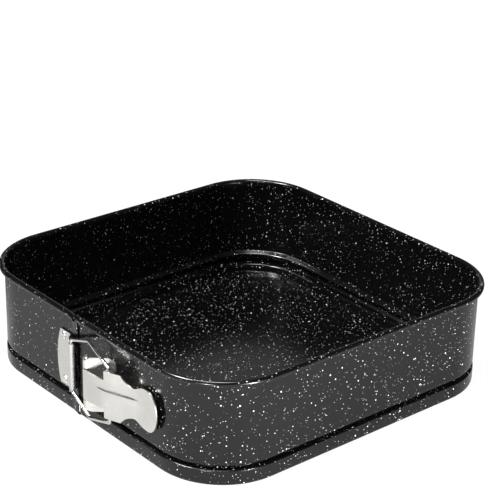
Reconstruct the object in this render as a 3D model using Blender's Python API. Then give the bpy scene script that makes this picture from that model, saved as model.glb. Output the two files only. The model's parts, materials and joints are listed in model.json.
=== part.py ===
"""Square springform cake pan: a loose base plate inside a sprung steel band, closed by an over-centre latch.

Blender 4.5, metres, +Z up. The origin is the centre of the base plate's underside.
The latch is on the -Y wall.
Shapes are worked out in millimetres and scaled to metres when their meshes are made.
"""

import math

import bmesh
import bpy
from mathutils import Vector

MM = 0.001

# Band, measured at the outer face of its wall
HALF = 121.5  # half the width across the walls
CORNER_R = 46.0  # outer corner radius
HEIGHT = 69.3  # floor to the top of the rolled rim
SHEET = 0.6  # band sheet thickness
RIM_R = 2.05  # outer radius of the rolled rim
RIM_START_DEG = -112  # where the rim's curl begins, under its inner side
BEAD = [  # the pressed retaining bead from top to foot: how deep it is pressed in, and its height
    (0.0, 14.1),
    (0.5, 13.4),
    (2.5, 12.3),
    (3.2, 11.6),
    (3.2, 11.2),
    (2.3, 10.5),
    (-0.1, 9.8),
]
SKIRT_TOP = 9.3
SKIRT_OUT = 0.4  # how far the band below the bead stands proud of the wall
LIP_R = 1.6  # bend of the bottom lip
LIP_TIP = 2.0  # how far in the bottom lip reaches
GAP = 0.3  # clearance between touching pieces
SEAM_X = -6.0  # where the band's two ends meet
FLEX_X = 45.0  # where the band flexes on the back wall, either side of the middle
TONGUE = 8.0  # length of the tongue behind the seam
TONGUE_ROOT = 3.0  # where the tongue joins the right end, beside the seam
TONGUE_JOG_START, TONGUE_JOG_END = 1.2, 0.2  # where it steps inward
TONGUE_GAP = 0.6
TONGUE_OVERLAP = 0.1  # set back within the sheet at its root, so the two faces don't coincide
TONGUE_LOW = 20.0
TONGUE_HIGH = 60.0

# Base plate, insets measured from the wall's outer face
BASE_SHEET = 0.8
FLOOR_INSET = 10.4  # edge of the flat floor
FLOOR_RING = 6.0  # width of the swept ring of floor; the rest of the floor is one flat cap
STEP = [(9.6, 0.8), (8.3, 4.6), (7.3, 5.6)]  # the sheet's middle up the step, as (inset, height)
FLANGE_Z = 5.6  # middle of the flange sheet
FLANGE_INSET = 3.9  # where the hem begins
HEM_R = 1.1

# Latch, placed by x along the wall and by how far it stands out from the wall's outer face
LATCH_Z = 35.2  # middle height of the plates and the lever
CUT_IN, CUT_OUT = -3.0, 20.0  # how far cutters reach behind the wall's outer face and out in front of it
PLATE = 0.8  # plate thickness
PLATE_MID = GAP + PLATE / 2
WIRE_R = 1.0
WIRE_Z = 34.0  # middle height of the wire link
WIRE_X, WIRE_OUT = -9.5, 3.2  # pivot of the wire in the anchor plate
WIRE_HALF = 17.9  # half the pivot bar's height
WIRE_BEND_X, WIRE_BEND_OUT, WIRE_BEND_HALF = 12.0, 5.2, 26.2
WIRE_END_X, WIRE_END_OUT, WIRE_END_HALF = 33.6, 7.5, 18.2
WIRE_FILLET = 3.0
PIN_X, PIN_OUT = 16.0, 10.0  # lever hinge
PIN_R = 1.0
PIN_HEAD_R, PIN_HEAD = 1.5, 0.35  # low rolled heads, thin enough for the wire to swing past
PIN_HEAD_GAP = 0.1
CURL_CLEAR = 0.35  # running clearance in the curled knuckles

ANCHOR_LEFT, ANCHOR_BULGE = -24.2, 4.0  # straight chord of the left edge, and how far its middle bulges
ANCHOR_LOW, ANCHOR_HIGH = 15.8, 54.8
ANCHOR_RAMP_X = -15.6  # where the plate starts to rise over the wire
ANCHOR_WRAP_DEG = (135, -65)  # how far it rolls over the wire
ANCHOR_BOW_STEPS = 8
SLOT_LOW, SLOT_HIGH = 15.4, 19.8  # slots that let the wire's arms out, from the wire's middle height
SLOT_OUT, SLOT_LENGTH = 0.05, 6.0  # where a slot starts above the wall, and its reach along x from the wire

BRACKET_RIGHT = 33.0
BRACKET_HALF = 18.2
BRACKET_FOLD = [(27.0, 0.0), (26.2, 0.2), (25.2, 1.0)]  # foot of the ears: x, and out from the plate's middle
BRACKET_WRAP_DEG = (40, 235)  # how far the ears roll round the pin
WINDOW_X = 27.2  # right side of the bracket's window
WINDOW = [(0.0, 15.0), (2.0, 15.0), (9.0, 10.9), (CUT_OUT, 10.9)]  # the window's half height, from the wall out
EAR_CHAMFER = 2.4

LEVER_SHEET = 0.9
LEVER_RISE = 0.02  # how much the lever's middle climbs along x, from the pin
LEVER_NARROW = 10.3  # half height at the hinge
LEVER_NECK_ROOT = 9.5  # half height where the narrow part meets the shoulders
LEVER_WRAP_DEG = (300, 105)  # how far the knuckle rolls round the pin
SHOULDER_X, SHOULDER_END_X = 34.3, 45.7
SHOULDER_HALF = 15.8
SHOULDER_STEP = 0.1  # run of the square shoulder
TAIL_X, TAIL_END_X, TAIL_HALF = 67.2, 77.2, 13.2
NECK = [  # half height along x, from the shoulders through the waist to the tail
    (SHOULDER_END_X, SHOULDER_HALF),
    (47.2, 13.7),
    (49.9, 11.5),
    (53.4, 10.2),
    (56.0, 10.2),
    (59.6, 12.0),
    (63.0, 13.1),
    (TAIL_X, TAIL_HALF),
]
LEVER_BOW = [  # how far the middle of the lever's sheet stands out from the wall, along x
    (PIN_X, PIN_OUT + PIN_R + CURL_CLEAR + LEVER_SHEET / 2),
    (25.0, 11.3),
    (SHOULDER_X, 10.2),
    (SHOULDER_END_X, 6.3),
    (55.8, 3.1),
    (61.6, 2.5),
    (TAIL_X, 2.7),
    (TAIL_END_X, 3.8),
]
NARROW_STATIONS = [PIN_X, 20.0, 26.0, SHOULDER_X - SHOULDER_STEP]
SHOULDER_STATIONS = [SHOULDER_X, 40.0, SHOULDER_END_X]
WAIST_STATIONS = [46.4, 47.2, 48.4, 49.9, 51.7, 53.4, 56.0, 57.8, 59.6, 61.3, 63.0, 65.1]
TAIL_DEGREES = (0, 18, 36, 50, 62, 72, 80)
EAR_X0, EAR_X1, EAR_IN = 34.9, 39.4, 5.0  # ears bent back from the shoulders
EAR_FACE, EAR_BACK = 0.15, 0.95  # the ear's two faces, in from the shoulder's edge

RIVET_R, RIVET_DOME, RIVET_TAIL = 1.8, 1.1, 0.6
SHANK_R, HOLE_R = 1.0, 1.3
ANCHOR_RIVET_X, BRACKET_RIVET_X = -20.6, 30.0
ANCHOR_RIVET_DZ, BRACKET_RIVET_DZ = 15.2, 9.0

CORNER_STEPS = 8
ROUND_STEPS = 12
KNUCKLE_STEPS = 9
WIRE_STEPS = 8
HEM_STEPS = 6
LIP_STEPS = 4
FILLET_STEPS = 4


# ---------- scene and material helpers ----------

def clear_scene():
    for obj in list(bpy.data.objects):
        bpy.data.objects.remove(obj, do_unlink=True)


def material(name, colour, roughness, metallic):
    mat = bpy.data.materials.new(name)
    mat.use_nodes = True
    shader = mat.node_tree.nodes["Principled BSDF"]
    shader.inputs["Base Color"].default_value = (*colour, 1.0)
    shader.inputs["Roughness"].default_value = roughness
    shader.inputs["Metallic"].default_value = metallic
    return mat


def coating(name):
    return material(name, (0.035, 0.035, 0.037), 0.38, 0.2)


def steel(name):
    return material(name, (0.72, 0.70, 0.68), 0.28, 1.0)


def pivot(name, x, y, z, parent=None):
    """An empty on a joint's axis, given in millimetres in world space."""
    empty = bpy.data.objects.new(name, None)
    bpy.context.collection.objects.link(empty)
    empty.empty_display_size = 0.02
    here = Vector((x, y, z)) * MM
    empty["world"] = here
    empty.parent = parent
    empty.location = here - (Vector(parent["world"]) if parent else Vector())
    return empty


def solid(name, verts, faces, mat, parent=None, smooth_deg=40.0):
    """A closed mesh from millimetre points, its origin on the parent pivot."""
    origin = Vector(parent["world"]) if parent else Vector()
    mesh = bpy.data.meshes.new(name)
    mesh.from_pydata([Vector(v) * MM - origin for v in verts], [], faces)
    tidy = bmesh.new()
    tidy.from_mesh(mesh)
    bmesh.ops.recalc_face_normals(tidy, faces=tidy.faces)
    tidy.to_mesh(mesh)
    tidy.free()
    mesh.shade_smooth()
    mesh.set_sharp_from_angle(angle=math.radians(smooth_deg))
    if mat:
        mesh.materials.append(mat)
    obj = bpy.data.objects.new(name, mesh)
    bpy.context.collection.objects.link(obj)
    obj.parent = parent
    return obj


def boolean(obj, tool, operation):
    tool.hide_render = True
    tool.display_type = "WIRE"
    mod = obj.modifiers.new(operation.lower(), "BOOLEAN")
    mod.operation = operation
    mod.solver = "EXACT"
    mod.object = tool


# ---------- shape helpers ----------

def arc(cx, cy, radius, start_deg, end_deg, steps):
    points = []
    for i in range(steps + 1):
        a = math.radians(start_deg + (end_deg - start_deg) * i / steps)
        points.append((cx + radius * math.cos(a), cy + radius * math.sin(a)))
    return points


def sheet_outline(line, thickness):
    """The closed outline of a bent sheet whose middle runs along a line of 2-D points."""
    left, right = [], []
    for i, (x, y) in enumerate(line):
        before = Vector(line[max(i - 1, 0)])
        after = Vector(line[min(i + 1, len(line) - 1)])
        here = Vector((x, y))
        d1 = (here - before).normalized() if i else (after - here).normalized()
        d2 = (after - here).normalized() if i < len(line) - 1 else d1
        n1, n2 = Vector((-d1.y, d1.x)), Vector((-d2.y, d2.x))
        bisector = (n1 + n2).normalized()
        reach = thickness / 2 / max(bisector.dot(n1), 0.5)
        left.append(here + bisector * reach)
        right.append(here - bisector * reach)
    return [tuple(p) for p in left + right[::-1]]


def loft(loops, cap_ends=True, closed=False):
    """Points and faces of a skin through loops of equal length."""
    size = len(loops[0])
    verts = [p for loop in loops for p in loop]
    faces = []
    spans = len(loops) if closed else len(loops) - 1
    for i in range(spans):
        a, b = i * size, (i + 1) % len(loops) * size
        for j in range(size):
            k = (j + 1) % size
            faces.append((a + j, a + k, b + k, b + j))
    if cap_ends:
        faces.append(tuple(range(size)))
        faces.append(tuple(range((len(loops) - 1) * size, len(loops) * size)))
    return verts, faces


def prism(name, outline, place, low, high, mat=None, parent=None):
    """A straight extrusion: place(u, v, w) turns outline points and a height into 3-D points."""
    loops = [[place(u, v, w) for u, v in outline] for w in (low, high)]
    return solid(name, *loft(loops), mat, parent)


def on_wall(x, out, z):
    """A point beside the latch wall, standing out from its outer face."""
    return (x, -(HALF + out), z)


def facing_wall(x, z, out):
    """The same point, for an outline drawn flat on the wall and extruded outward."""
    return on_wall(x, out, z)


def along_wall(out, z, x):
    """The same point, for an outline drawn across the wall and extruded along it."""
    return on_wall(x, out, z)


def turned(profile, x, z):
    """Rings about an axis square to the latch wall, from (radius, out) pairs; the ends are capped."""
    loops = []
    for radius, out in profile:
        ring = arc(x, z, radius, 0, 360, ROUND_STEPS)[:-1]
        loops.append([on_wall(px, out, pz) for px, pz in ring])
    return loft(loops)


def hole_cutter(name, x, z):
    verts, faces = turned([(HOLE_R, CUT_IN), (HOLE_R, -CUT_IN)], x, z)
    return solid(name, verts, faces, None)


# ---------- the band ----------

def corner_stations(sx, sy, start_deg):
    """Wall points and outward directions round one corner, anticlockwise."""
    cx, cy = sx * (HALF - CORNER_R), sy * (HALF - CORNER_R)
    stations = []
    for i in range(CORNER_STEPS + 1):
        a = math.radians(start_deg + 90.0 * i / CORNER_STEPS)
        n = (math.cos(a), math.sin(a))
        stations.append(((cx + CORNER_R * n[0], cy + CORNER_R * n[1]), n))
    return stations


def band_line():
    """Middle of the band's sheet as (out, z), from the curled edge of the rim down to the bottom lip."""
    mid = -SHEET / 2
    curl = RIM_R - SHEET / 2
    rim = arc(mid + curl, HEIGHT - RIM_R, curl, RIM_START_DEG, 180, ROUND_STEPS)
    bead = [(mid - depth, z) for depth, z in BEAD]
    skirt = SKIRT_OUT + mid
    lip = arc(skirt - LIP_R, LIP_R + SHEET / 2, LIP_R, 0, -90, LIP_STEPS)
    tip = [(mid - LIP_TIP + SHEET / 2, SHEET / 2)]
    return rim + bead + [(skirt, SKIRT_TOP)] + lip + tip


def band_segment(name, stations, mat, parent):
    outline = sheet_outline(band_line(), SHEET)
    loops = []
    for (px, py), (nx, ny) in stations:
        loops.append([(px + nx * out, py + ny * out, z) for out, z in outline])
    return solid(name, *loft(loops), mat, parent)


def make_band(back, left, right):
    outward, inward = (0, 1), (0, -1)
    edge = FLEX_X + GAP / 2
    left_path = [((-edge, HALF), outward)]
    left_path += corner_stations(-1, 1, 90) + corner_stations(-1, -1, 180)
    left_path += [((SEAM_X - GAP / 2, -HALF), inward)]
    right_path = [((SEAM_X + GAP / 2, -HALF), inward)]
    right_path += corner_stations(1, -1, 270) + corner_stations(1, 1, 0)
    right_path += [((edge, HALF), outward)]
    back_path = [((FLEX_X - GAP / 2, HALF), outward), ((GAP / 2 - FLEX_X, HALF), outward)]

    band_left = band_segment("band_left", left_path, coating("coating_left"), left)
    band_right = band_segment("band_right", right_path, coating("coating_right"), right)
    band_segment("band_back", back_path, coating("coating_back"), back)

    # The tongue is part of the right end; it reaches behind the left end and closes the seam.
    level = -SHEET / 2 - TONGUE_OVERLAP
    sunk = -SHEET * 1.5 - TONGUE_GAP
    tongue_line = [
        (SEAM_X + TONGUE_ROOT, level),
        (SEAM_X + TONGUE_JOG_START, level),
        (SEAM_X + TONGUE_JOG_END, sunk),
        (SEAM_X - TONGUE, sunk),
    ]
    tongue = prism("tongue", sheet_outline(tongue_line, SHEET), on_wall, TONGUE_LOW, TONGUE_HIGH)
    boolean(band_right, tongue, "UNION")
    return band_left, band_right


# ---------- the base ----------

def base_line():
    """Middle of the base's sheet as (inset, z), from the flat floor out to the hem."""
    mid = BASE_SHEET / 2
    floor = [(FLOOR_INSET + FLOOR_RING, mid), (FLOOR_INSET, mid)]
    hem = HEM_R - BASE_SHEET / 2
    return floor + STEP + arc(FLANGE_INSET, FLANGE_Z - hem, hem, 90, 270, HEM_STEPS)


def make_base():
    """The sheet's outline is swept round the whole square, and its two inner loops are capped flat."""
    outline = sheet_outline(base_line(), BASE_SHEET)
    path = []
    for sx, sy, start in ((1, 1, 0), (-1, 1, 90), (-1, -1, 180), (1, -1, 270)):
        path += corner_stations(sx, sy, start)
    loops = []
    for inset, z in outline:
        loops.append([(px - nx * inset, py - ny * inset, z) for (px, py), (nx, ny) in path])
    return solid("base_plate", *loft(loops), coating("coating_base"))


# ---------- the latch ----------

def make_rivet(name, x, z, parent):
    foot = GAP + PLATE + GAP
    tail = -SHEET - GAP
    profile = [(RIVET_R * 0.9, tail - RIVET_TAIL), (RIVET_R, tail), (SHANK_R, tail)]
    profile += [(SHANK_R, foot), (RIVET_R, foot)]
    for r, h in arc(0, 0, 1.0, 20, 75, 3):
        profile.append((RIVET_R * r, foot + RIVET_DOME * h))
    return solid(name, *turned(profile, x, z), steel(name + "_steel"), parent, 30)


def make_rivets(label, plate, band, x, dz, parent):
    for end, z in (("upper", LATCH_Z + dz), ("lower", LATCH_Z - dz)):
        cutter = hole_cutter(f"{label}_{end}_hole", x, z)
        boolean(plate, cutter, "DIFFERENCE")
        boolean(band, cutter, "DIFFERENCE")
        make_rivet(f"{label}_rivet_{end}", x, z, parent)


def make_anchor(parent):
    """Plate whose right edge rolls over the wire's pivot bar; its left edge is bowed."""
    curl = WIRE_R + CURL_CLEAR + PLATE / 2
    line = [(ANCHOR_LEFT - ANCHOR_BULGE, PLATE_MID), (ANCHOR_RAMP_X, PLATE_MID)]
    line += arc(WIRE_X, WIRE_OUT, curl, *ANCHOR_WRAP_DEG, ROUND_STEPS)
    outline = sheet_outline(line, PLATE)
    plate = prism("anchor_plate", outline, on_wall, ANCHOR_LOW, ANCHOR_HIGH, steel("anchor_steel"), parent)

    middle = (ANCHOR_LOW + ANCHOR_HIGH) / 2
    reach = (ANCHOR_HIGH - ANCHOR_LOW) / 2 + 2.0
    bow = []
    for i in range(ANCHOR_BOW_STEPS + 1):
        t = -1 + 2 * i / ANCHOR_BOW_STEPS
        bow.append((ANCHOR_LEFT - ANCHOR_BULGE * (1 - t * t), middle + t * reach))
    beyond = ANCHOR_LEFT - 3 * ANCHOR_BULGE
    bow += [(beyond, middle + reach), (beyond, middle - reach)]
    edge = prism("anchor_edge_cut", bow, facing_wall, CUT_IN, CUT_OUT)
    boolean(plate, edge, "DIFFERENCE")

    for name, z0, z1 in (
        ("anchor_slot_upper", WIRE_Z + SLOT_LOW, WIRE_Z + SLOT_HIGH),
        ("anchor_slot_lower", ANCHOR_LOW - 1.0, WIRE_Z - SLOT_LOW),
    ):
        end = WIRE_X + SLOT_LENGTH
        box = [(WIRE_X, SLOT_OUT), (end, SLOT_OUT), (end, CUT_OUT), (WIRE_X, CUT_OUT)]
        boolean(plate, prism(name, box, on_wall, z0, z1), "DIFFERENCE")
    return plate


def make_bracket(parent):
    """Plate with two ears that slope out and curl round the hinge pin, either side of the lever's knuckle."""
    curl = PIN_R + CURL_CLEAR + PLATE / 2
    line = [(BRACKET_RIGHT, PLATE_MID)] + [(x, PLATE_MID + out) for x, out in BRACKET_FOLD]
    line += arc(PIN_X, PIN_OUT, curl, *BRACKET_WRAP_DEG, ROUND_STEPS)
    low, high = LATCH_Z - BRACKET_HALF, LATCH_Z + BRACKET_HALF
    outline = sheet_outline(line, PLATE)
    plate = prism("lever_bracket", outline, on_wall, low, high, steel("bracket_steel"), parent)

    window = [(out, LATCH_Z - half) for out, half in WINDOW]
    window += [(out, LATCH_Z + half) for out, half in reversed(WINDOW)]
    boolean(plate, prism("bracket_window", window, along_wall, 0.0, WINDOW_X), "DIFFERENCE")
    top_out = PIN_OUT + curl + PLATE
    for name, side in (("ear_chamfer_upper", 1), ("ear_chamfer_lower", -1)):
        corner = [
            (top_out - EAR_CHAMFER, LATCH_Z + side * (BRACKET_HALF + 0.5)),
            (top_out + 1.0, LATCH_Z + side * (BRACKET_HALF + 0.5)),
            (top_out + 1.0, LATCH_Z + side * (BRACKET_HALF - EAR_CHAMFER)),
        ]
        boolean(plate, prism(name, corner, along_wall, 0.0, WINDOW_X), "DIFFERENCE")
    return plate


def make_pin(parent):
    """A plain pin with a low rolled head at each end, clear of the ears."""
    seat = BRACKET_HALF + PIN_HEAD_GAP
    end = [
        (PIN_R, seat),
        (PIN_HEAD_R, seat),
        (PIN_HEAD_R, seat + PIN_HEAD / 2),
        (PIN_HEAD_R * 0.7, seat + PIN_HEAD),
    ]
    rings = [(radius, LATCH_Z - reach) for radius, reach in reversed(end)]
    rings += [(radius, LATCH_Z + reach) for radius, reach in end]
    loops = []
    for radius, z in rings:
        ring = arc(PIN_X, PIN_OUT, radius, 0, 360, ROUND_STEPS)[:-1]
        loops.append([on_wall(x, out, z) for x, out in ring])
    return solid("hinge_pin", *loft(loops), steel("pin_steel"), parent)


def fillet_path(corners, radius, steps):
    """A path through corner points with each inner corner rounded."""
    points = [Vector(corners[0])]
    for before, here, after in zip(corners, corners[1:], corners[2:]):
        b, h, a = Vector(before), Vector(here), Vector(after)
        u, v = (b - h).normalized(), (a - h).normalized()
        half = u.angle(v) / 2
        setback = radius / math.tan(half)
        middle = h + (u + v).normalized() * radius / math.sin(half)
        start = (h + u * setback - middle).normalized()
        end = (h + v * setback - middle).normalized()
        for i in range(steps + 1):
            points.append(middle + start.slerp(end, i / steps) * radius)
    points.append(Vector(corners[-1]))
    return points


def make_wire(parent):
    """Six-sided link of round wire: its bar turns in the anchor plate, its ends meet the lever's ears."""
    half = [
        (WIRE_END_X, WIRE_END_OUT, WIRE_END_HALF),
        (WIRE_BEND_X, WIRE_BEND_OUT, WIRE_BEND_HALF),
        (WIRE_X, WIRE_OUT, WIRE_HALF),
    ]
    corners = [on_wall(x, out, WIRE_Z + dz) for x, out, dz in half]
    corners += [on_wall(x, out, WIRE_Z - dz) for x, out, dz in reversed(half)]
    path = fillet_path(corners, WIRE_FILLET, FILLET_STEPS)
    normal = (path[1] - path[0]).cross(path[-1] - path[0]).normalized()
    loops = []
    for i, point in enumerate(path):
        ahead = path[min(i + 1, len(path) - 1)] - path[max(i - 1, 0)]
        side = ahead.cross(normal).normalized()
        ring = arc(0, 0, WIRE_R, 0, 360, WIRE_STEPS)[:-1]
        loops.append([tuple(point + side * a + normal * b) for a, b in ring])
    return solid("wire_link", *loft(loops), steel("wire_steel"), parent)


def smooth_curve(knots, x):
    """Catmull-Rom interpolation of (x, value) knots."""
    i = 0
    while i < len(knots) - 2 and x > knots[i + 1][0]:
        i += 1
    (x1, y1), (x2, y2) = knots[i], knots[i + 1]
    x0, y0 = knots[max(i - 1, 0)]
    x3, y3 = knots[min(i + 2, len(knots) - 1)]
    m1 = (y2 - y0) / (x2 - x0)
    m2 = (y3 - y1) / (x3 - x1)
    w = x2 - x1
    t = (x - x1) / w
    return ((1 + 2 * t) * (1 - t) ** 2 * y1 + t * (1 - t) ** 2 * w * m1
            + t * t * (3 - 2 * t) * y2 + t * t * (t - 1) * w * m2)


def lever_half(x):
    """Half height of the lever: narrow at the hinge, square shoulders, a neck and a fish tail."""
    if x < SHOULDER_X:
        t = (x - PIN_X) / (SHOULDER_X - PIN_X)
        return LEVER_NARROW + (LEVER_NECK_ROOT - LEVER_NARROW) * max(t, 0.0)
    if x <= SHOULDER_END_X:
        return SHOULDER_HALF
    if x < TAIL_X:
        return smooth_curve(NECK, x)
    t = (x - TAIL_X) / (TAIL_END_X - TAIL_X)
    return TAIL_HALF * math.sqrt(max(1 - t * t, 0.0))


def lever_z(x):
    """Height of the lever's middle."""
    return LATCH_Z + LEVER_RISE * max(x - PIN_X, 0.0)


def make_lever(parent):
    """Sheet lever: a knuckle round the pin, then the outline above, bent to lie along the wall."""
    curl = PIN_R + CURL_CLEAR + LEVER_SHEET / 2
    knuckle = arc(PIN_X, PIN_OUT, curl, *LEVER_WRAP_DEG, KNUCKLE_STEPS)
    stations = [(x, out, LEVER_NARROW) for x, out in knuckle]
    tail = TAIL_END_X - TAIL_X
    places = NARROW_STATIONS + SHOULDER_STATIONS + WAIST_STATIONS
    places += [TAIL_X + tail * math.sin(math.radians(a)) for a in TAIL_DEGREES]
    stations += [(x, smooth_curve(LEVER_BOW, x), lever_half(x)) for x in places]

    line = [(x, out) for x, out, half in stations]
    outline = sheet_outline(line, LEVER_SHEET)
    count = len(line)
    loops = []
    for i, (x, out, half) in enumerate(stations):
        outer, inner = outline[i], outline[2 * count - 1 - i]
        low, high = lever_z(x) - half, lever_z(x) + half
        face, back = on_wall(*outer, low), on_wall(*inner, low)
        loops.append([face, (*face[:2], high), (*back[:2], high), back])
    lever = solid("lever", *loft(loops), steel("lever_steel"), parent)

    for name, side in (("lever_ear_upper", 1), ("lever_ear_lower", -1)):
        ear = [(EAR_X0, EAR_IN), (EAR_X1, EAR_IN)]
        ear += [(x, smooth_curve(LEVER_BOW, x)) for x in (EAR_X1, EAR_X0)]
        z0, z1 = sorted(lever_z(EAR_X0) + side * (SHOULDER_HALF - inset) for inset in (EAR_BACK, EAR_FACE))
        boolean(lever, prism(name, ear, on_wall, z0, z1), "UNION")
    return lever


def main():
    clear_scene()
    ring = pivot("ring_lift", 0, 0, 0)
    left = pivot("left_flex", -FLEX_X, HALF, 0, ring)
    right = pivot("right_flex", FLEX_X, HALF, 0, ring)
    wire = pivot("wire_swing", *on_wall(WIRE_X, WIRE_OUT, WIRE_Z), left)
    lever = pivot("lever_swing", *on_wall(PIN_X, PIN_OUT, LATCH_Z), right)

    make_base()
    band_left, band_right = make_band(ring, left, right)
    anchor = make_anchor(left)
    bracket = make_bracket(right)
    make_rivets("anchor", anchor, band_left, ANCHOR_RIVET_X, ANCHOR_RIVET_DZ, left)
    make_rivets("bracket", bracket, band_right, BRACKET_RIVET_X, BRACKET_RIVET_DZ, right)
    make_pin(right)
    make_wire(wire)
    make_lever(lever)


main()
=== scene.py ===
import json
import math

import bmesh
import bpy
import numpy as np
from mathutils import Matrix, Vector


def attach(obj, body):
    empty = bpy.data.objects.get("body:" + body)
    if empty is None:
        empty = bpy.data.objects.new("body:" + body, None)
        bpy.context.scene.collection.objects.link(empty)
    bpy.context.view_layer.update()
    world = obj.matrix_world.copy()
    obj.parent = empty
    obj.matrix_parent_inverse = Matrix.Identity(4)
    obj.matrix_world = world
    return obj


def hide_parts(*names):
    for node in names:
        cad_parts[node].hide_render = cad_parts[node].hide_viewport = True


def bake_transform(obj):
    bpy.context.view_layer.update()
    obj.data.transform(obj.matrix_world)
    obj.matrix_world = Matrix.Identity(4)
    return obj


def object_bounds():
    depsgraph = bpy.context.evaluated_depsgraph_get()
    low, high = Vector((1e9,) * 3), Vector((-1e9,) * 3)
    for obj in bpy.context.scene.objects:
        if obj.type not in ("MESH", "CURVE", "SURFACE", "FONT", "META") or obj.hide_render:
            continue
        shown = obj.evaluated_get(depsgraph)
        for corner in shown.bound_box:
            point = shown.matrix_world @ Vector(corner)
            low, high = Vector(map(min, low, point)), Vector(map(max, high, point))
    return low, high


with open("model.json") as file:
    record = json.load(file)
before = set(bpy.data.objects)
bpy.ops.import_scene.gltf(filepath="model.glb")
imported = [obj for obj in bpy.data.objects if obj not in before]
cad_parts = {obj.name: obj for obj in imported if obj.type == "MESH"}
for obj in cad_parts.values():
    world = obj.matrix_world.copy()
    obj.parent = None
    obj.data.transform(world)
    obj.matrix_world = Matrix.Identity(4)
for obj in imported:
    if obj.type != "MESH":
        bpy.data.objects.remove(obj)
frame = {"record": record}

CAD_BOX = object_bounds()
MM = 0.001
JOINTS = {j["name"]: j for j in frame["record"]["behaviour"]["joints"]}

# Band, in millimetres at the outer face of its wall, as the CAD model has it
HALF = 121.5
CORNER_R = 46.0
HEIGHT = CAD_BOX[1][2] / MM
SHEET = 0.6
RIM_R = 2.05
BEAD_DEPTH, BEAD_TOP, BEAD_FOOT = 3.2, 13.7, 9.8
SKIRT_OUT = 0.4
LIP_R, LIP_TIP = 1.6, 2.0
SEAM_X, SEAM_GAP = -6.0, 0.7
LAP_X, LAP_OUT = -14.5, 1.0  # the left end springs out this much before the seam
TONGUE, TONGUE_GAP = 8.0, 0.6
TONGUE_LOW, TONGUE_HIGH = 20, 60
# how many places along each half of the back wall, round each corner, and along the left end's lap
BACK_STEPS, CORNER_STEPS, LAP_STEPS = 24, 20, 8

# Base plate
BASE_SHEET = 0.8
FLOOR_INSET = 10.4
FLOOR_REACH = 60.0  # how far in from the step the floor's last ring of points is
STEP_INSET = 7.5
FLANGE_Z = 5.6
FLANGE_INSET = 3.9
HEM_R = 1.1

# Latch: x along the wall, out from the wall, and heights from the wire's or the lever's middle
LATCH_Z = JOINTS["lever_swing"]["pos_m"][2] / MM
PIN_X = JOINTS["lever_swing"]["pos_m"][0] / MM
PIN_OUT = -JOINTS["lever_swing"]["pos_m"][1] / MM - HALF
WIRE_X = JOINTS["wire_swing"]["pos_m"][0] / MM
WIRE_OUT = -JOINTS["wire_swing"]["pos_m"][1] / MM - HALF
WIRE_Z = JOINTS["wire_swing"]["pos_m"][2] / MM
GAP = 0.3  # between the wall and a plate riveted to it
EDGE = 0.16  # rounding of the sheet parts' cut edges
TURNED_STEPS = 28
CURL_CLEAR = 0.35
PIN_R, PIN_SUNK = 1.0, 0.6

SHANK_R, HOLE_R = 1.0, 1.25
DOME_R, DOME_RISE = 1.95, 1.25
SEAT_R, SEAT_DEPTH = 2.75, 0.4
CLENCH = [(1.2, -0.7), (1.7, -0.45), (1.8, 0.0)]  # radius and depth of a rivet's inner head

ANCHOR_SHEET = 0.7
ANCHOR_LOW, ANCHOR_HIGH = 15.8, 53.4
ANCHOR_RAW_X, ANCHOR_FLAT_X = -29.0, -15.0  # the sheet before the bow is cut; where its curl starts
ANCHOR_LEFT, ANCHOR_BOW, ANCHOR_LEAN = -24.2, 4.0, 0.5
ANCHOR_RIVET_X, ANCHOR_RIVET_HALF = -20.6, 15.2
# slots cut from the curl, above and below, to let the wire's bends through
SLOT_LOW, SLOT_HIGH, SLOT_BACK = 15.4, 19.8, 0.9
NICK = [(-13.4, 44.2), (-12.0, 42.2), (-11.3, 42.7), (-12.6, 44.7)]

PLATE = 0.8
PLATE_MID = GAP + PLATE / 2
BRACKET_RIGHT, BRACKET_HALF = 33.0, 18.2
BRACKET_FOLD = [(27.2, PLATE_MID), (26.2, PLATE_MID + 0.25), (25.2, PLATE_MID + 1.1)]
BRACKET_RIVET_X, BRACKET_RIVET_HALF = 30.0, 9.0
WINDOW_LEFT, WINDOW_RIGHT = 5.0, 27.2
WINDOW_TALL, WINDOW_NARROW = 15.0, 10.9
WINDOW_CURVE = [(2.4, 14.9), (5.0, 13.6), (7.6, 11.6), (9.0, WINDOW_NARROW)]
EAR_ROUND = 4.2

WIRE_R = 1.0
WIRE_SKIN = 0.12  # the wire is drawn this much fuller than the CAD's
WIRE_BEND_R = 2.2
HOOK_X, HOOK_OUT = 35.9, 7.4  # where the wire's ends pass through the lever's ears
WIRE_HALF_PATH = [
    (HOOK_X, HOOK_OUT, 13.4), (HOOK_X, HOOK_OUT, 18.0), (12.0, 5.2, 26.2), (WIRE_X, WIRE_OUT, 17.9),
]

LEVER_SHEET = 0.9
LEVER_CLIMB = 0.02
NARROW_HALF, NECK_ROOT = 10.3, 9.5
SHOULDER_X, SHOULDER_END_X, SHOULDER_HALF = 34.3, 45.7, 15.8
TAIL_X, TAIL_END_X, TAIL_HALF = 67.2, 77.2, 13.2
BLADE = [
    (25.0, 11.3), (SHOULDER_X, 10.2), (SHOULDER_END_X, 6.3), (55.8, 3.1), (61.6, 2.5),
    (TAIL_X, 2.7), (TAIL_END_X + 0.6, 3.8),
]
NECK = [
    (SHOULDER_END_X, SHOULDER_HALF - 0.3), (47.2, 13.7), (49.9, 11.5), (53.4, 10.2),
    (56.0, 10.2), (59.6, 12.0), (63.0, 13.1), (TAIL_X, TAIL_HALF),
]
CREASE_X, CREASE_LENGTH, CREASE_Z, CREASE_DEPTH = 26.0, 33.5, 3.3, 0.75
FOLD_X, FOLD_END_X, FOLD_Z, FOLD_HEIGHT = 46.0, 74.0, -1.5, 0.3
EAR = [
    (SHOULDER_X + 0.05, 5.4), (SHOULDER_X + 0.9, 4.7), (39.3, 4.7), (40.3, 5.6), (40.9, 7.9),
    (SHOULDER_X + 0.05, 9.9),
]
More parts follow.
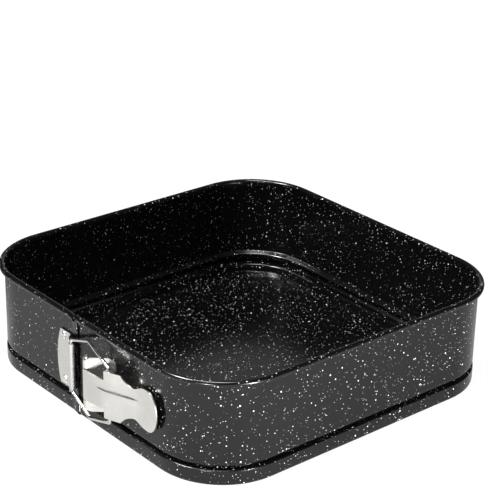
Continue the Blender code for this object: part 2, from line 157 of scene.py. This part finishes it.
EAR_BACK, EAR_FACE = 0.95, 0.1  # the ears' two faces, in from the shoulders' edge
EAR_LEVEL_X = 35.0  # the ears are centred on the blade's middle at this x
EYE_CLEAR = 0.3

# Camera and studio, in metres
CAMERA_AZIMUTH, CAMERA_ELEVATION, CAMERA_ROLL = 49.651, 23.782, 1.242
CAMERA_TARGET, CAMERA_DISTANCE = (-0.09605, 0.08492, 0.02884), 1.1957
CAMERA_LENS, CAMERA_SENSOR = 121.63, 36.0
STUDIO_REACH, STUDIO_LEVEL = 6.0, -0.0002
# brightness of the studio floor in the pan's gloss (far, middle and near), and to the camera
GLOW_FAR, GLOW_MIDDLE, GLOW_NEAR, FLOOR_SEEN = 0.06, 0.55, 1.05, 0.97
NEAR_AXIS, FAR_EDGE, NEAR_EDGE = (0.762, -0.648, 0.0), (-0.13, -0.02), (0.05, 0.27)
WORLD_GLOW = 0.06
LIGHT_AIM = (0, 0, 0.03)


# ---------- shapes ----------

def arc(cx, cy, radius, start_deg, end_deg, steps):
    points = []
    for i in range(steps + 1):
        a = math.radians(start_deg + (end_deg - start_deg) * i / steps)
        points.append((cx + radius * math.cos(a), cy + radius * math.sin(a)))
    return points


def smooth_line(knots, per_span):
    """A Catmull-Rom curve through 2-D knots."""
    points = []
    p = [Vector(k) for k in knots]
    for i in range(len(p) - 1):
        a, b, c, d = p[max(i - 1, 0)], p[i], p[i + 1], p[min(i + 2, len(p) - 1)]
        for k in range(per_span):
            t = k / per_span
            points.append(0.5 * (2 * b + (c - a) * t + (2 * a - 5 * b + 4 * c - d) * t * t
                                 + (3 * b - a - 3 * c + d) * t ** 3))
    points.append(p[-1])
    return [tuple(q) for q in points]


def sheet_outline(line, thickness):
    """The closed outline of a bent sheet whose middle runs along a line of 2-D points."""
    left, right = [], []
    for i, point in enumerate(line):
        here = Vector(point)
        before = Vector(line[max(i - 1, 0)])
        after = Vector(line[min(i + 1, len(line) - 1)])
        d1 = (here - before).normalized() if i else (after - here).normalized()
        d2 = (after - here).normalized() if i < len(line) - 1 else d1
        n1, n2 = Vector((-d1.y, d1.x)), Vector((-d2.y, d2.x))
        bisector = (n1 + n2).normalized()
        reach = thickness / 2 / max(bisector.dot(n1), 0.5)
        left.append(here + bisector * reach)
        right.append(here - bisector * reach)
    return [tuple(q) for q in left + right[::-1]]


def loft(loops):
    size = len(loops[0])
    verts = [p for loop in loops for p in loop]
    faces = [tuple(range(size)), tuple(range(len(verts) - size, len(verts)))]
    for i in range(len(loops) - 1):
        a, b = i * size, (i + 1) * size
        for j in range(size):
            k = (j + 1) % size
            faces.append((a + j, a + k, b + k, b + j))
    return verts, faces


def piece(name, verts, faces, smooth_deg=35.0):
    """A closed mesh object from millimetre points."""
    mesh = bpy.data.meshes.new(name)
    mesh.from_pydata([Vector(v) * MM for v in verts], [], faces)
    tidy = bmesh.new()
    tidy.from_mesh(mesh)
    bmesh.ops.recalc_face_normals(tidy, faces=tidy.faces)
    tidy.to_mesh(mesh)
    tidy.free()
    obj = bpy.data.objects.new(name, mesh)
    bpy.context.collection.objects.link(obj)
    shade(obj, smooth_deg)
    return obj


def shade(obj, smooth_deg):
    obj.data.shade_smooth()
    obj.data.set_sharp_from_angle(angle=math.radians(smooth_deg))


def prism(name, outline, place, low, high):
    """A solid with a flat outline; place turns each (u, v) and height into a point of the pan."""
    return piece(name, *loft([[place(u, v, w) for u, v in outline] for w in (low, high)]))


def on_wall(x, out, z):
    """A point of the latch, from x along the wall, how far out from it, and height."""
    return (x, -(HALF + out), z)


def combine(obj, tool, operation):
    mod = obj.modifiers.new("combine", "BOOLEAN")
    mod.operation = operation
    mod.solver = "EXACT"
    mod.object = tool
    settle(obj)
    bpy.data.objects.remove(tool, do_unlink=True)


def settle(obj):
    """Replace the mesh by what its modifiers make of it."""
    bpy.context.view_layer.update()
    evaluated = obj.evaluated_get(bpy.context.evaluated_depsgraph_get())
    mesh = bpy.data.meshes.new_from_object(evaluated)
    obj.modifiers.clear()
    obj.data = mesh


def soften(obj):
    """Round the cut edges by a small bevel."""
    mod = obj.modifiers.new("edges", "BEVEL")
    mod.width = EDGE * MM
    mod.segments = 2
    mod.limit_method = "ANGLE"
    mod.angle_limit = math.radians(38.0)
    mod.use_clamp_overlap = True
    settle(obj)
    shade(obj, 50.0)


def remember_rest(obj):
    """Store each point's place at rest, which the coating's specks are laid out by."""
    co = np.zeros(len(obj.data.vertices) * 3, np.float32)
    obj.data.vertices.foreach_get("co", co)
    attribute = obj.data.attributes.new("rest_place", "FLOAT_VECTOR", "POINT")
    attribute.data.foreach_set("vector", co)


# ---------- materials ----------

class Nodes:
    """A short way to write shader nodes."""

    def __init__(self, name):
        self.material = bpy.data.materials.new(name)
        self.material.use_nodes = True
        self.tree = self.material.node_tree
        self.shader = self.tree.nodes["Principled BSDF"]

    def add(self, kind, inputs=None, **settings):
        node = self.tree.nodes.new(kind)
        for key, value in settings.items():
            setattr(node, key, value)
        for key, value in (inputs or {}).items():
            self.feed(node.inputs[key], value)
        return node

    def feed(self, socket, value):
        if isinstance(value, bpy.types.NodeSocket):
            self.tree.links.new(value, socket)
        else:
            socket.default_value = value

    def math(self, operation, a, b):
        return self.add("ShaderNodeMath", {0: a, 1: b}, operation=operation).outputs[0]

    def ramp(self, value, low, high, out_low=0.0, out_high=1.0):
        inputs = {
            "Value": value, "From Min": low, "From Max": high,
            "To Min": out_low, "To Max": out_high,
        }
        return self.add("ShaderNodeMapRange", inputs, interpolation_type="SMOOTHSTEP").outputs[0]

    def noise(self, place, scale, detail):
        inputs = {"Vector": place, "Scale": scale, "Detail": detail}
        return self.add("ShaderNodeTexNoise", inputs).outputs["Fac"]

    def bump(self, height, strength, distance):
        inputs = {"Height": height, "Strength": strength, "Distance": distance}
        node = self.add("ShaderNodeBump", inputs)
        self.feed(self.shader.inputs["Normal"], node.outputs["Normal"])


def specks(n, place, cell_mm, radius_mm, keep, offset):
    """Round spots of random size, one per cell at most; gives (mask, luck of each spot)."""
    moved = n.add("ShaderNodeVectorMath", {0: place, 1: offset}, operation="ADD").outputs[0]
    cells = n.add(
        "ShaderNodeTexVoronoi", {"Vector": moved, "Scale": 1 / (cell_mm * MM), "Randomness": 1.0},
        voronoi_dimensions="3D", feature="F1",
    )
    split = n.add("ShaderNodeSeparateColor", {"Color": cells.outputs["Color"]})
    size = n.ramp(split.outputs["Red"], 0.0, 1.0, 0.45, 1.0)
    radius = n.math("MULTIPLY", size, radius_mm / cell_mm)
    inside = n.math("SUBTRACT", radius, cells.outputs["Distance"])
    mask = n.ramp(inside, 0.0, 0.1 * radius_mm / cell_mm)
    chosen = n.math("LESS_THAN", split.outputs["Green"], keep)
    return n.math("MULTIPLY", mask, chosen), split.outputs["Blue"]


def granite_coating(name):
    """Near-black stone-effect non-stick coating: white specks of three sizes in a satin film."""
    n = Nodes(name)
    place = n.add("ShaderNodeAttribute", attribute_name="rest_place").outputs["Vector"]
    density = n.ramp(n.noise(place, 28.0, 2.0), 0.35, 0.65, 0.75, 1.15)
    # turned, because a wall that lies along the cells' own planes gets bare patches
    turned_place = n.add(
        "ShaderNodeVectorRotate", {"Vector": place, "Axis": (0.31, 0.53, 0.79), "Angle": 0.73},
        rotation_type="AXIS_ANGLE",
    ).outputs[0]

    total = None
    layers = (  # cell and radius in millimetres, share kept, offset, dimmest and brightest
        (3.9, 0.52, 0.45, (0.013, 0.002, 0.007), 0.7, 1.0),
        (2.2, 0.36, 0.55, (0.211, 0.105, 0.032), 0.4, 1.0),
        (1.45, 0.26, 0.6, (0.407, 0.302, 0.113), 0.15, 0.75),
    )
    for cell, radius, keep, offset, dim, bright in layers:
        share = n.math("MULTIPLY", density, keep)
        mask, luck = specks(n, turned_place, cell, radius, share, offset)
        level = n.ramp(luck, 0.0, 1.0, dim, bright)
        spot = n.math("MULTIPLY", mask, level)
        total = spot if total is None else n.math("MAXIMUM", total, spot)
    black, white = (0.0015, 0.0015, 0.0016, 1), (0.93, 0.93, 0.92, 1)
    colour = n.add(
        "ShaderNodeMix", {"Factor": total, "A": black, "B": white}, data_type="RGBA",
    ).outputs["Result"]
    n.feed(n.shader.inputs["Base Color"], colour)

    haze = n.noise(place, 90.0, 3.0)
    n.feed(n.shader.inputs["Roughness"], n.ramp(haze, 0.3, 0.7, 0.17, 0.23))
    n.shader.inputs["IOR"].default_value = 1.45
    orange_peel = n.noise(place, 420.0, 2.0)
    n.bump(orange_peel, 0.15, 0.0001)
    return n.material


def satin_steel(name, colour=(0.81, 0.795, 0.76), roughness=0.25, grain=(60.0, 60.0, 900.0)):
    """Bright steel with a fine directional grain and faint smears."""
    n = Nodes(name)
    place = n.add("ShaderNodeTexCoord").outputs["Object"]
    stretched = n.add("ShaderNodeVectorMath", {0: place, 1: grain}, operation="MULTIPLY").outputs[0]
    lines = n.noise(stretched, 1.0, 3.0)
    smear = n.noise(place, 70.0, 2.0)
    wear = n.math("ADD", n.math("MULTIPLY", lines, 0.4), n.math("MULTIPLY", smear, 0.6))
    rough = n.ramp(wear, 0.3, 0.7, roughness - 0.03, roughness + 0.05)
    tint = n.ramp(smear, 0.3, 0.7, 0.93, 1.0)
    base = n.add("ShaderNodeVectorMath", {0: colour}, operation="SCALE")
    n.feed(base.inputs["Scale"], tint)
    n.feed(n.shader.inputs["Base Color"], base.outputs[0])
    n.feed(n.shader.inputs["Roughness"], rough)
    n.shader.inputs["Metallic"].default_value = 1.0
    n.bump(lines, 0.05, 0.00005)
    return n.material


# ---------- the pan ----------

def corner(sx, sy, start_deg):
    """Places round one corner, each with its way out."""
    cx, cy = sx * (HALF - CORNER_R), sy * (HALF - CORNER_R)
    stations = []
    for i in range(CORNER_STEPS + 1):
        a = math.radians(start_deg + 90.0 * i / CORNER_STEPS)
        n = (math.cos(a), math.sin(a))
        stations.append(((cx + CORNER_R * n[0], cy + CORNER_R * n[1]), n))
    return stations


def band_line():
    """Middle of the band's sheet as (out, z), from the rim's curled edge to the bottom lip."""
    mid = -SHEET / 2
    curl = RIM_R - SHEET / 2
    rim = arc(mid + curl, HEIGHT - RIM_R, curl, -112, 180, 26)
    deep = mid - BEAD_DEPTH
    skirt = SKIRT_OUT + mid
    bead = smooth_line([
        (mid, BEAD_TOP + 0.5),
        (mid - 0.45, BEAD_TOP - 0.4),
        (deep + 0.7, BEAD_TOP - 1.45),
        (deep, BEAD_TOP - 2.1),
        (deep, BEAD_FOOT + 1.45),
        (deep + 0.9, BEAD_FOOT + 0.75),
        (skirt - 0.3, BEAD_FOOT),
        (skirt, BEAD_FOOT - 0.5),
    ], 4)
    lip = arc(skirt - LIP_R, LIP_R + SHEET / 2, LIP_R, 0, -90, 8)
    wall = [(mid, BEAD_TOP + 12.0), (mid, BEAD_TOP + 2.0)]
    return rim + wall + bead + lip + [(mid - LIP_TIP + SHEET / 2, SHEET / 2)]


def band_strip(name, stations):
    outline = sheet_outline(band_line(), SHEET)
    loops = []
    for (px, py), (nx, ny) in stations:
        loops.append([(px + nx * out, py + ny * out, z) for out, z in outline])
    return piece(name, *loft(loops), smooth_deg=60.0)


def back_stations(side):
    """Evenly spaced places on the back wall, from the middle to the corner."""
    last = HALF - CORNER_R
    return [((side * last * i / BACK_STEPS, HALF), (0, 1)) for i in range(BACK_STEPS)]


def make_band(coating):
    left_path = back_stations(-1) + corner(-1, 1, 90) + corner(-1, -1, 180)
    for i in range(LAP_STEPS + 1):
        lap = i / LAP_STEPS
        x = LAP_X + (SEAM_X - SEAM_GAP / 2 - LAP_X) * lap
        left_path += [((x, -HALF - LAP_OUT * lap * lap * (3 - 2 * lap)), (0, -1))]
    right_path = [((SEAM_X + SEAM_GAP / 2, -HALF), (0, -1))] + corner(1, -1, 270) + corner(1, 1, 0)
    right_path += back_stations(1)[::-1]
    tongue_line = [
        (SEAM_X + 4.0, -SHEET / 2 - 0.1),
        (SEAM_X + 1.6, -SHEET / 2 - 0.1),
        (SEAM_X + 0.5, -SHEET * 1.5 - TONGUE_GAP),
        (SEAM_X - TONGUE, -SHEET * 1.5 - TONGUE_GAP),
    ]
    for name, path, body, side, nodes in (
        ("ring_left_strip", left_path, "ring_left", -1, ("band_left", "band_back")),
        ("ring_right_strip", right_path, "ring_right", 1, ("band_right",)),
    ):
        strip = band_strip(name, path)
        if side > 0:
            outline = sheet_outline(tongue_line, SHEET)
            tongue = prism("tongue", outline, on_wall, TONGUE_LOW, TONGUE_HIGH)
            combine(strip, tongue, "UNION")
            shade(strip, 50.0)
        finish_coated(strip, coating)
        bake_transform(strip)
        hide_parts(*nodes)


def make_base(coating):
    mid = BASE_SHEET / 2
    profile = [(FLOOR_INSET + FLOOR_REACH, mid), (FLOOR_INSET + 6.0, mid)]
    profile += smooth_line([
        (FLOOR_INSET, mid),
        (FLOOR_INSET - 0.9, mid + 0.4),
        (STEP_INSET + 0.8, FLANGE_Z - 0.9),
        (STEP_INSET - 0.2, FLANGE_Z),
        (FLANGE_INSET + 1.0, FLANGE_Z),
    ], 5)
    hem = HEM_R - BASE_SHEET / 2
    profile += arc(FLANGE_INSET, FLANGE_Z - HEM_R + BASE_SHEET / 2, hem, 90, 270, 10)
    outline = sheet_outline(profile, BASE_SHEET)
    path = []
    for sx, sy, start in ((1, 1, 0), (-1, 1, 90), (-1, -1, 180), (1, -1, 270)):
        path += corner(sx, sy, start)
    loops = []
    for inset, z in outline:
        radius = min(inset, CORNER_R - 2.0)
        extra = inset - radius
        loop = []
        for (px, py), (nx, ny) in path:
            x = px - nx * radius - math.copysign(extra, px)
            y = py - ny * radius - math.copysign(extra, py)
            loop.append((x, y, z))
        loops.append(loop)
    base = piece("loose_base", *loft(loops), smooth_deg=60.0)
    finish_coated(base, coating)
    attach(base, "base")
    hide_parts("base_plate")


def finish_coated(obj, coating):
    remember_rest(obj)
    obj.data.materials.clear()
    obj.data.materials.append(coating)


# ---------- the latch ----------

def finish_steel(obj, steel, body, node):
    obj.data.materials.clear()
    obj.data.materials.append(steel)
    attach(obj, body)
    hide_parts(node)


def turned(name, profile, x, z):
    """A round solid standing on the wall, from (radius, out) rings."""
    loops = []
    for radius, out in profile:
        ring = arc(x, z, radius, 0, 360, TURNED_STEPS)[:-1]
        loops.append([on_wall(px, out, pz) for px, pz in ring])
    return piece(name, *loft(loops), smooth_deg=40.0)


def make_rivet(name, x, z, face, steel, body):
    foot = face - SEAT_DEPTH
    tail = -SHEET - 0.15
    profile = [(radius, tail + depth) for radius, depth in CLENCH]
    profile += [(SHANK_R, tail), (SHANK_R, foot)]
    profile += [(DOME_R - 0.05, foot), (DOME_R + 0.05, foot + 0.12)]
    for degrees in range(10, 86, 15):
        a = math.radians(degrees)
        profile.append((DOME_R * math.cos(a), foot + 0.18 + DOME_RISE * math.sin(a)))
    finish_steel(turned(name, profile, x, z), steel, body, name.replace("_head", ""))


def rivet_seat(obj, x, z, face):
    """A hole for a rivet, with a shallow pressed ring round it."""
    combine(obj, turned("hole", [(HOLE_R, -3.0), (HOLE_R, 3.0)], x, z), "DIFFERENCE")
    foot = face - SEAT_DEPTH
    profile = [(SEAT_R, face + 1.0), (SEAT_R, face), (SEAT_R - 0.25, foot), (SHANK_R, foot)]
    combine(obj, turned("seat", profile, x, z), "DIFFERENCE")


def facing_wall(x, z, out):
    """For a prism whose outline is drawn facing the wall."""
    return on_wall(x, out, z)


def along_wall(out, z, x):
    """For a prism whose outline is drawn looking along the wall."""
    return on_wall(x, out, z)


def make_anchor(steel):
    curl = WIRE_R + WIRE_SKIN + 0.1 + ANCHOR_SHEET / 2
    flat = GAP + ANCHOR_SHEET / 2
    line = [(ANCHOR_RAW_X, flat), (ANCHOR_FLAT_X, flat)]
    roll = arc(WIRE_X, WIRE_OUT, curl, 140, -65, 26)
    line += smooth_line([(-13.6, flat + 0.1), (-12.0, flat + 1.6), roll[0]], 5) + roll[1:]
    outline = sheet_outline(line, ANCHOR_SHEET)
    plate = prism("anchor_sheet", outline, on_wall, ANCHOR_LOW, ANCHOR_HIGH)

    middle, reach = (ANCHOR_LOW + ANCHOR_HIGH) / 2, (ANCHOR_HIGH - ANCHOR_LOW) / 2 + 2.0
    bow = []
    for i in range(25):
        t = -1 + 2 * i / 24
        bow.append((ANCHOR_LEFT + ANCHOR_LEAN * t - ANCHOR_BOW * (1 - t * t), middle + t * reach))
    bow += [(-36.0, middle + reach), (-36.0, middle - reach)]
    combine(plate, prism("bow", bow, facing_wall, -3.0, 4.0), "DIFFERENCE")

    left, right = WIRE_X - SLOT_BACK, WIRE_X + 6
    box = [(left, 0.05), (right, 0.05), (right, 9), (left, 9)]
    for z0, z1 in ((WIRE_Z + SLOT_LOW, WIRE_Z + SLOT_HIGH), (ANCHOR_LOW - 1.0, WIRE_Z - SLOT_LOW)):
        combine(plate, prism("slot", box, on_wall, z0, z1), "DIFFERENCE")

    face = GAP + ANCHOR_SHEET
    rivets = (("upper", LATCH_Z + ANCHOR_RIVET_HALF), ("lower", LATCH_Z - ANCHOR_RIVET_HALF))
    for _, z in rivets:
        rivet_seat(plate, ANCHOR_RIVET_X, z, face)
    combine(plate, prism("nick", NICK, facing_wall, -1.0, 8.0), "DIFFERENCE")
    soften(plate)
    finish_steel(plate, steel, "ring_left", "anchor_plate")
    for end, z in rivets:
        make_rivet(f"anchor_rivet_{end}_head", ANCHOR_RIVET_X, z, face, steel, "ring_left")


def make_bracket(steel):
    curl = PIN_R + CURL_CLEAR + PLATE / 2
    line = [(BRACKET_RIGHT, PLATE_MID)] + smooth_line(BRACKET_FOLD, 3)
    line += arc(PIN_X, PIN_OUT, curl, 40, 235, 26)
    low, high = LATCH_Z - BRACKET_HALF, LATCH_Z + BRACKET_HALF
    plate = prism("bracket_sheet", sheet_outline(line, PLATE), on_wall, low, high)

    edge = [(-1.0, WINDOW_TALL), (1.6, WINDOW_TALL)]
    edge += smooth_line(WINDOW_CURVE, 4) + [(20.0, WINDOW_NARROW)]
    window = [(out, LATCH_Z - z) for out, z in edge]
    window += [(out, LATCH_Z + z) for out, z in reversed(edge)]
    combine(plate, prism("window", window, along_wall, WINDOW_LEFT, WINDOW_RIGHT), "DIFFERENCE")

    top = PIN_OUT + curl + PLATE
    for side in (1, -1):
        inner = LATCH_Z + side * (BRACKET_HALF - EAR_ROUND)
        outer = LATCH_Z + side * (BRACKET_HALF + 1.0)
        cut = arc(top - EAR_ROUND, inner, EAR_ROUND, 0, side * 90, 8)
        cut += [(top - EAR_ROUND, outer), (top + 1.0, outer), (top + 1.0, inner)]
        tool = prism("corner_cut", cut, along_wall, WINDOW_LEFT, WINDOW_RIGHT)
        combine(plate, tool, "DIFFERENCE")

    face = GAP + PLATE
    rivets = (("upper", LATCH_Z + BRACKET_RIVET_HALF), ("lower", LATCH_Z - BRACKET_RIVET_HALF))
    for _, z in rivets:
        rivet_seat(plate, BRACKET_RIVET_X, z, face)
    soften(plate)
    finish_steel(plate, steel, "ring_right", "lever_bracket")
    for end, z in rivets:
        make_rivet(f"bracket_rivet_{end}_head", BRACKET_RIVET_X, z, face, steel, "ring_right")


def make_pin(steel):
    """The hinge pin, its domed ends just inside the bracket's curls."""
    rings = []
    for side in (-1, 1):
        shoulder = LATCH_Z + side * (BRACKET_HALF - PIN_SUNK)
        end = [(PIN_R, shoulder), (0.9, shoulder + side * 0.25), (0.6, shoulder + side * 0.4)]
        rings += end[::-1] if side < 0 else end
    loops = []
    for radius, z in rings:
        ring = arc(PIN_X, PIN_OUT, radius, 0, 360, 24)[:-1]
        loops.append([on_wall(x, out, z) for x, out in ring])
    finish_steel(piece("pin", *loft(loops)), steel, "ring_right", "hinge_pin")


def fillet_path(corners, radius, steps):
    """A line through corners, each one rounded to a radius."""
    points = [Vector(corners[0])]
    for before, here, after in zip(corners, corners[1:], corners[2:]):
        b, h, a = Vector(before), Vector(here), Vector(after)
        u, v = (b - h).normalized(), (a - h).normalized()
        half = u.angle(v) / 2
        setback = radius / math.tan(half)
        middle = h + (u + v).normalized() * radius / math.sin(half)
        start = (h + u * setback - middle).normalized()
        end = (h + v * setback - middle).normalized()
        for i in range(steps + 1):
            points.append(middle + start.slerp(end, i / steps) * radius)
    points.append(Vector(corners[-1]))
    return points


def make_wire(steel):
    corners = [on_wall(x, out, WIRE_Z + dz) for x, out, dz in WIRE_HALF_PATH]
    corners += [on_wall(x, out, WIRE_Z - dz) for x, out, dz in reversed(WIRE_HALF_PATH)]
    path = fillet_path(corners, WIRE_BEND_R, 8)
    normal = (path[len(path) // 2] - path[0]).cross(path[-1] - path[0]).normalized()
    full = WIRE_R + WIRE_SKIN
    loops = []
    for i, point in enumerate(path):
        ahead = (path[min(i + 1, len(path) - 1)] - path[max(i - 1, 0)]).normalized()
        side = ahead.cross(normal).normalized()
        up = side.cross(ahead)
        rings = [(0.0, full)]
        if i == 0:
            rings = [(-full * 0.45, full * 0.5), (-full * 0.3, full * 0.85), (0.0, full)]
        if i == len(path) - 1:
            rings = [(0.0, full), (full * 0.3, full * 0.85), (full * 0.45, full * 0.5)]
        for shift, radius in rings:
            ring = arc(0, 0, radius, 0, 360, 16)[:-1]
            loops.append([tuple(point + ahead * shift + side * a + up * b) for a, b in ring])
    finish_steel(piece("wire_bail", *loft(loops), smooth_deg=60.0), steel, "wire", "wire_link")


def lever_middle():
    """Middle of the lever's sheet as (x, out): the knuckle round the pin, then the blade."""
    curl = PIN_R + CURL_CLEAR + LEVER_SHEET / 2
    knuckle = arc(PIN_X, PIN_OUT, curl, 300, 90, 26)
    blade = smooth_line([(PIN_X, PIN_OUT + curl)] + BLADE, 8)
    return knuckle, blade[1:]


def lever_outline():
    """The lever seen square on, as (x, height above its middle), to the tail and back below."""
    root_r = 0.9
    upper = [(PIN_X - 8.0, NARROW_HALF), (PIN_X, NARROW_HALF), (SHOULDER_X - root_r, NECK_ROOT)]
    upper += arc(SHOULDER_X - root_r, NECK_ROOT + root_r, root_r, -90, 0, 4)[1:]
    upper += [(SHOULDER_X, SHOULDER_HALF - 0.5), (SHOULDER_X + 0.5, SHOULDER_HALF)]
    upper += [(SHOULDER_END_X - 0.8, SHOULDER_HALF)]
    upper += smooth_line(NECK, 6)
    length = TAIL_END_X - TAIL_X
    for i in range(1, 19):
        a = math.radians(90 - 5 * i)
        upper.append((TAIL_X + length * math.cos(a), TAIL_HALF * math.sin(a)))
    return upper[:-1] + [(TAIL_END_X, 0.0)] + [(x, -z) for x, z in reversed(upper[:-1])]


def lever_rise(x):
    """How far the lever's middle climbs along x, from the pin."""
    return LEVER_CLIMB * max(x - PIN_X, 0.0)


def press_height(x, dz):
    """The pressing in the lever's face: a long crease, and a soft fold below it on the tail."""
    t = (x - CREASE_X) / CREASE_LENGTH
    swell = math.sin(math.pi * t) ** 0.6 if 0 < t < 1 else 0.0
    crease = max(1.0 - abs(dz - CREASE_Z) / (0.4 + 0.8 * swell), 0.0) * swell
    fade = min(max((x - FOLD_X) / 12.0, 0.0), 1.0) * min(max((FOLD_END_X - x) / 8.0, 0.0), 1.0)
    fold = math.exp(-((dz - FOLD_Z) / 1.6) ** 2) * fade
    return FOLD_HEIGHT * fold - CREASE_DEPTH * crease


def make_lever(steel):
    knuckle, blade = lever_middle()
    line = knuckle + blade
    outline = sheet_outline(line, LEVER_SHEET)
    count = len(line)
    # rows of points up the blade, closest where the crease is
    spans = ((-18.0, 0.5, 23), (0.8, 6.2, 28), (6.6, 18.0, 15))
    rows = np.concatenate([np.linspace(*span) for span in spans])
    loops = []
    for i, (x, _) in enumerate(line):
        outer, inner = Vector(outline[i]), Vector(outline[2 * count - 1 - i])
        lift = (outer - inner).normalized()
        loop = []
        for surface, heights in ((outer, rows), (inner, rows[::-1])):
            for dz in heights:
                bump = press_height(x, dz - lever_rise(x)) if i >= len(knuckle) else 0.0
                p = surface + lift * bump
                loop.append(on_wall(p.x, p.y, LATCH_Z + dz))
        loops.append(loop)
    lever = piece("lever_blade", *loft(loops), smooth_deg=50.0)
    shape = [(x, LATCH_Z + dz + lever_rise(x)) for x, dz in lever_outline()]
    combine(lever, prism("outline", shape, facing_wall, -2.0, 20.0), "INTERSECT")

    middle = LATCH_Z + lever_rise(EAR_LEVEL_X)
    for side in (1, -1):
        z0, z1 = sorted(middle + side * (SHOULDER_HALF - inset) for inset in (EAR_BACK, EAR_FACE))
        flap = prism("ear", EAR, on_wall, z0, z1)
        circle = arc(HOOK_X, HOOK_OUT, WIRE_R + EYE_CLEAR, 0, 360, 24)[:-1]
        eye = prism("eye", circle, on_wall, z0 - 2, z1 + 2)
        combine(flap, eye, "DIFFERENCE")
        combine(lever, flap, "UNION")
    soften(lever)
    finish_steel(lever, steel, "lever", "lever")


# ---------- studio ----------

def look_from(azimuth_deg, elevation_deg):
    a, e = math.radians(azimuth_deg), math.radians(elevation_deg)
    return Vector((math.sin(a) * math.cos(e), -math.cos(a) * math.cos(e), math.sin(e)))


def make_camera():
    """A long lens: the pan's front corner faces it, and the picture leaves room above."""
    back = look_from(CAMERA_AZIMUTH, CAMERA_ELEVATION)
    data = bpy.data.cameras.new("camera")
    data.lens = CAMERA_LENS
    data.sensor_width = CAMERA_SENSOR
    camera = bpy.data.objects.new("camera", data)
    bpy.context.collection.objects.link(camera)
    place = Matrix.Translation(Vector(CAMERA_TARGET) + back * CAMERA_DISTANCE)
    roll = Matrix.Rotation(math.radians(CAMERA_ROLL), 4, "Z")
    camera.matrix_world = place @ back.to_track_quat("Z", "Y").to_matrix().to_4x4() @ roll
    bpy.context.scene.camera = camera


def soft_box(name, place, size, power):
    data = bpy.data.lights.new(name, "AREA")
    data.shape = "DISK"
    data.size = size
    data.energy = power
    light = bpy.data.objects.new(name, data)
    bpy.context.collection.objects.link(light)
    light.location = place
    light.rotation_euler = (Vector(place) - Vector(LIGHT_AIM)).to_track_quat("Z", "Y").to_euler()


def make_studio():
    """Lights and a white floor, which is darker to the pan's gloss than to the camera."""
    mesh = bpy.data.meshes.new("studio_floor")
    signs = ((-1, -1), (1, -1), (1, 1), (-1, 1))
    corners = [(x * STUDIO_REACH, y * STUDIO_REACH, STUDIO_LEVEL) for x, y in signs]
    mesh.from_pydata(corners, [], [(0, 1, 2, 3)])
    floor = bpy.data.objects.new("studio_floor", mesh)
    bpy.context.collection.objects.link(floor)
    n = Nodes("floor_glow")
    n.shader.inputs["Base Color"].default_value = (0.05, 0.05, 0.05, 1)
    n.shader.inputs["Roughness"].default_value = 0.9
    n.shader.inputs["Emission Color"].default_value = (1, 1, 1, 1)
    place = n.add("ShaderNodeTexCoord").outputs["Object"]
    nearer = n.add(
        "ShaderNodeVectorMath", {0: place, 1: NEAR_AXIS}, operation="DOT_PRODUCT",
    ).outputs["Value"]
    # Painted light: the floor glows as a stand-in for the studio's lamps. To the pan's gloss it is
    # dark far behind, brighter near the pan and brightest in front, and to the camera it is evenly
    # white.
    glow = n.ramp(nearer, *FAR_EDGE, GLOW_FAR, GLOW_MIDDLE)
    glow = n.math("ADD", glow, n.ramp(nearer, *NEAR_EDGE, 0.0, GLOW_NEAR - GLOW_MIDDLE))
    seen = n.add("ShaderNodeLightPath").outputs["Is Camera Ray"]
    n.feed(n.shader.inputs["Emission Strength"], n.ramp(seen, 0.0, 1.0, glow, FLOOR_SEEN))
    mesh.materials.append(n.material)

    world = bpy.data.worlds.new("studio")
    bpy.context.scene.world = world
    world.use_nodes = True
    background = world.node_tree.nodes["Background"]
    background.inputs["Color"].default_value = (1, 1, 1, 1)
    background.inputs["Strength"].default_value = WORLD_GLOW

    # name, place, diameter in metres, watts
    soft_box("overhead", (0.1, -0.25, 1.3), 0.6, 15.0)
    soft_box("key", (-0.3, -1.0, 1.35), 0.5, 48.0)
    soft_box("side", (1.5, -0.1, 0.05), 0.1, 44.0)
    soft_box("front", (0.8, -1.3, 0.05), 0.1, 16.0)
    soft_box("backdrop_glow", (-1.2, 1.05, 0.75), 1.0, 1.0)


def main():
    coating = granite_coating("granite_coating")
    steel = satin_steel("satin_steel")
    wire_steel = satin_steel("bright_wire", (0.80, 0.79, 0.77), 0.06, (300.0, 300.0, 300.0))
    make_band(coating)
    make_base(coating)
    make_anchor(steel)
    make_bracket(steel)
    make_pin(steel)
    make_wire(wire_steel)
    make_lever(steel)
    make_camera()
    make_studio()
    bpy.context.scene.view_settings.view_transform = "Standard"


main()
